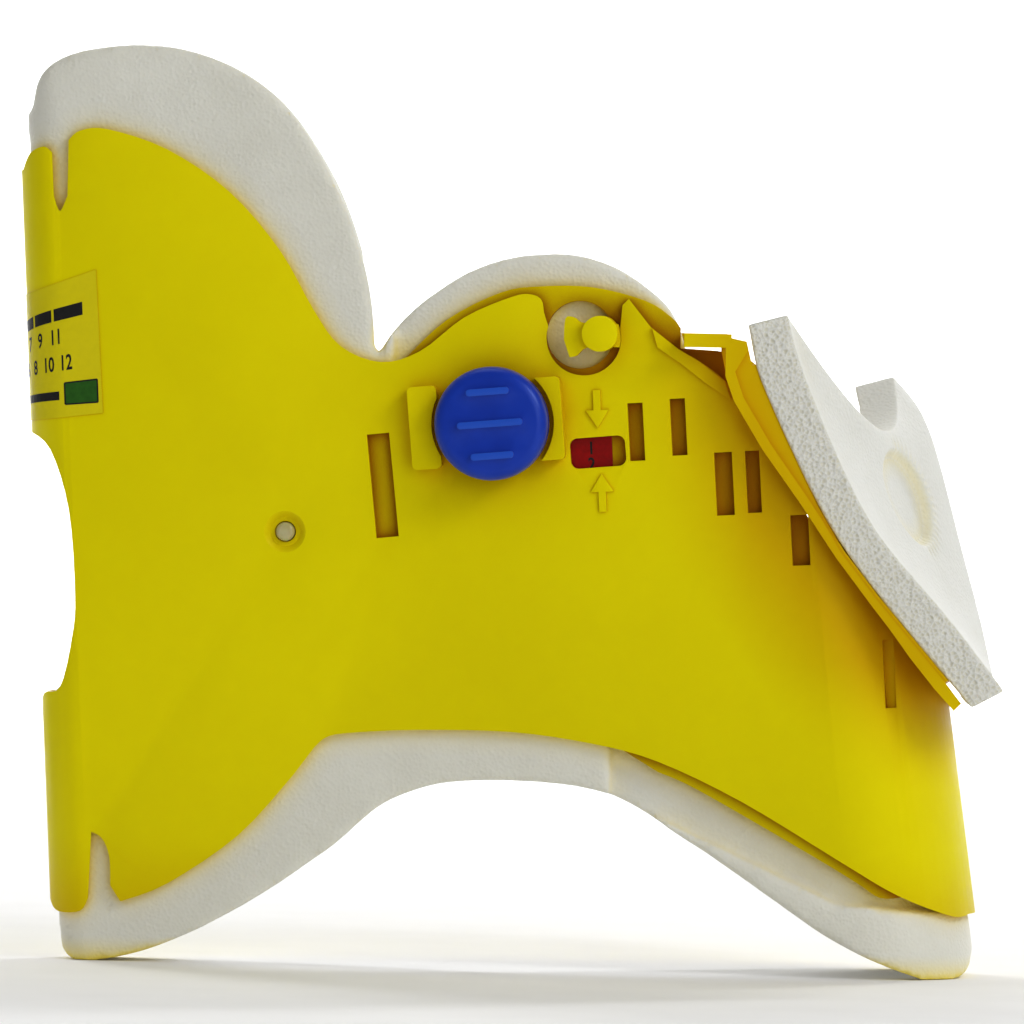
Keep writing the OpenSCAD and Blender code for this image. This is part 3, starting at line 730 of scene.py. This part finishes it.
def setting_numbers(name, side):
    middle = WINDOW[0] - 1.4
    top = WINDOW[1] + 0.6
    words = [(str(i + 1), side * middle, top - PITCH * i) for i in range(SETTINGS)]
    digits(name, words, 3.3, 0.85, on_strip(side), INK_BLACK, "chin_carrier")


setting_numbers("setting_numbers_near", 1)
setting_numbers("setting_numbers_far", -1)


# ---- Strap stitching ----------------------------------------------------------------------


def tube(name, runs, radius, mat, body):
    """Round threads of this radius in mm; each run is a list of places along one of them."""
    curve = bpy.data.curves.new(name, "CURVE")
    curve.dimensions = "3D"
    curve.bevel_depth = radius * MM
    curve.bevel_resolution = 2
    for run in runs:
        spline = curve.splines.new("POLY")
        spline.points.add(len(run) - 1)
        for target, point in zip(spline.points, run):
            target.co = (*point, 1)
    obj = bpy.data.objects.new(name, curve)
    bpy.context.scene.collection.objects.link(obj)
    curve.materials.append(mat)
    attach(obj, body)


STRAP_Z = 65.0           # level of the strap's middle line
STRAP_TOP = 3.4          # height of its outer face above the wall


def far_wall(x, z, height):
    """As wall_place, on the far wall."""
    point = wall_place(x, z, height)
    return Vector((point.x, -point.y, point.z))


def strap_stitching():
    """Two rows of stitches along the strap's edges and a box where the hook tape is sewn on."""
    stitch = 2.0
    gap = 0.7
    runs = []

    def row(x0, z0, x1, z1):
        length = math.hypot(x1 - x0, z1 - z0)
        count = int(length // (stitch + gap))
        for i in range(count):
            a = i * (stitch + gap) / length
            b = a + stitch / length
            ends = [(x0 + (x1 - x0) * t, z0 + (z1 - z0) * t) for t in (a, b)]
            runs.append([far_wall(x, z, STRAP_TOP + 0.08) for x, z in ends])

    for side in (-1, 1):
        row(-60, STRAP_Z + side * 9.5, 3, STRAP_Z + side * 9.5)
        row(-46, STRAP_Z + side * 7.5, -16, STRAP_Z + side * 7.5)
    for x in (-46, -15, 6):
        row(x, STRAP_Z - 8.5, x, STRAP_Z + 8.5)
    tube("strap_stitches", runs, 0.18, THREAD, "far_back")


strap_stitching()


# ---- Studio -------------------------------------------------------------------------------


def studio_floor():
    """A pale floor that curves up behind the collar."""
    width = 9.0
    back_y = 4.2
    radius = 1.0
    front_y = -6.0
    turn_steps = 16
    profile = [(front_y, 0.0)]
    for i in range(turn_steps + 1):
        turn = i / turn_steps * math.pi / 2
        profile.append((back_y - radius + radius * math.sin(turn), radius - radius * math.cos(turn)))
    profile.append((back_y, 4.5))
    bm = bmesh.new()
    rows = [[bm.verts.new((x, y, z)) for x in (-width / 2, width / 2)] for y, z in profile]
    for a, b in zip(rows, rows[1:]):
        bm.faces.new((a[0], a[1], b[1], b[0]))
    mesh = bpy.data.meshes.new("studio_floor")
    bm.to_mesh(mesh)
    bm.free()
    for polygon in mesh.polygons:
        polygon.use_smooth = True
    floor = bpy.data.objects.new("studio_floor", mesh)
    bpy.context.scene.collection.objects.link(floor)
    mat, bsdf = new_material("studio_paper", (0.86, 0.86, 0.86), 0.9)
    coords = object_coords(mat)
    grain = noise_node(mat, coords, 40, 3)
    shade = ramp(mat, grain, "Fac", [(0.3, (0.855, 0.855, 0.855)), (0.7, (0.88, 0.88, 0.88))])
    link(mat, shade, "Color", bsdf, "Base Color")
    set_material(floor, mat)


def area_light(name, place, target, size, power):
    light = bpy.data.lights.new(name, "AREA")
    light.shape = "DISK"
    light.size = size
    light.energy = power
    obj = bpy.data.objects.new(name, light)
    obj.location = place
    aim = Vector(target) - Vector(place)
    obj.rotation_euler = aim.to_track_quat("-Z", "Y").to_euler()
    bpy.context.scene.collection.objects.link(obj)


def studio_world():
    world = bpy.data.worlds.new("studio_world")
    bpy.context.scene.world = world
    world.use_nodes = True
    background = world.node_tree.nodes["Background"]
    background.inputs["Color"].default_value = (1.0, 1.0, 1.0, 1)
    background.inputs["Strength"].default_value = 0.29


def photo_camera():
    """Long lens, square on to the near side, rolled a little as the collar leans in the picture."""
    lens = 400.0
    sensor = 36.0
    view_width = 0.1946      # metres across the picture, in the target's plane
    distance = lens / sensor * view_width
    elevation = math.radians(1.0)
    roll = math.radians(1.14)
    target = Vector((0.0004, -0.018, 0.0875))
    camera = bpy.data.objects.new("photo_camera", bpy.data.cameras.new("photo_camera"))
    camera.data.lens = lens
    camera.data.sensor_width = sensor
    camera.data.clip_start = 0.05
    camera.data.clip_end = 40
    back = Vector((0, -math.cos(elevation), math.sin(elevation)))
    camera.location = target + back * distance
    look = (-back).to_track_quat("-Z", "Y").to_matrix().to_4x4()
    camera.rotation_euler = (look @ Matrix.Rotation(roll, 4, "Z")).to_euler()
    bpy.context.scene.collection.objects.link(camera)
    bpy.context.scene.camera = camera


studio_floor()
studio_world()
area_light("key", (0.50, -0.42, 0.52), (0.03, 0, 0.09), 0.28, 1.8)
area_light("fill", (0.50, -1.0, 0.35), (0.03, 0, 0.09), 0.6, 1.7)
area_light("top", (-0.2, 0.1, 1.5), (0, 0, 0.09), 0.9, 2.6)
area_light("backdrop_left", (-1.5, 2.0, 1.8), (-0.3, 3.2, 0.2), 1.2, 95)
area_light("backdrop_right", (1.5, 2.0, 1.8), (0.3, 3.2, 0.2), 1.2, 95)
photo_camera()
bpy.context.scene.view_settings.view_transform = "Standard"
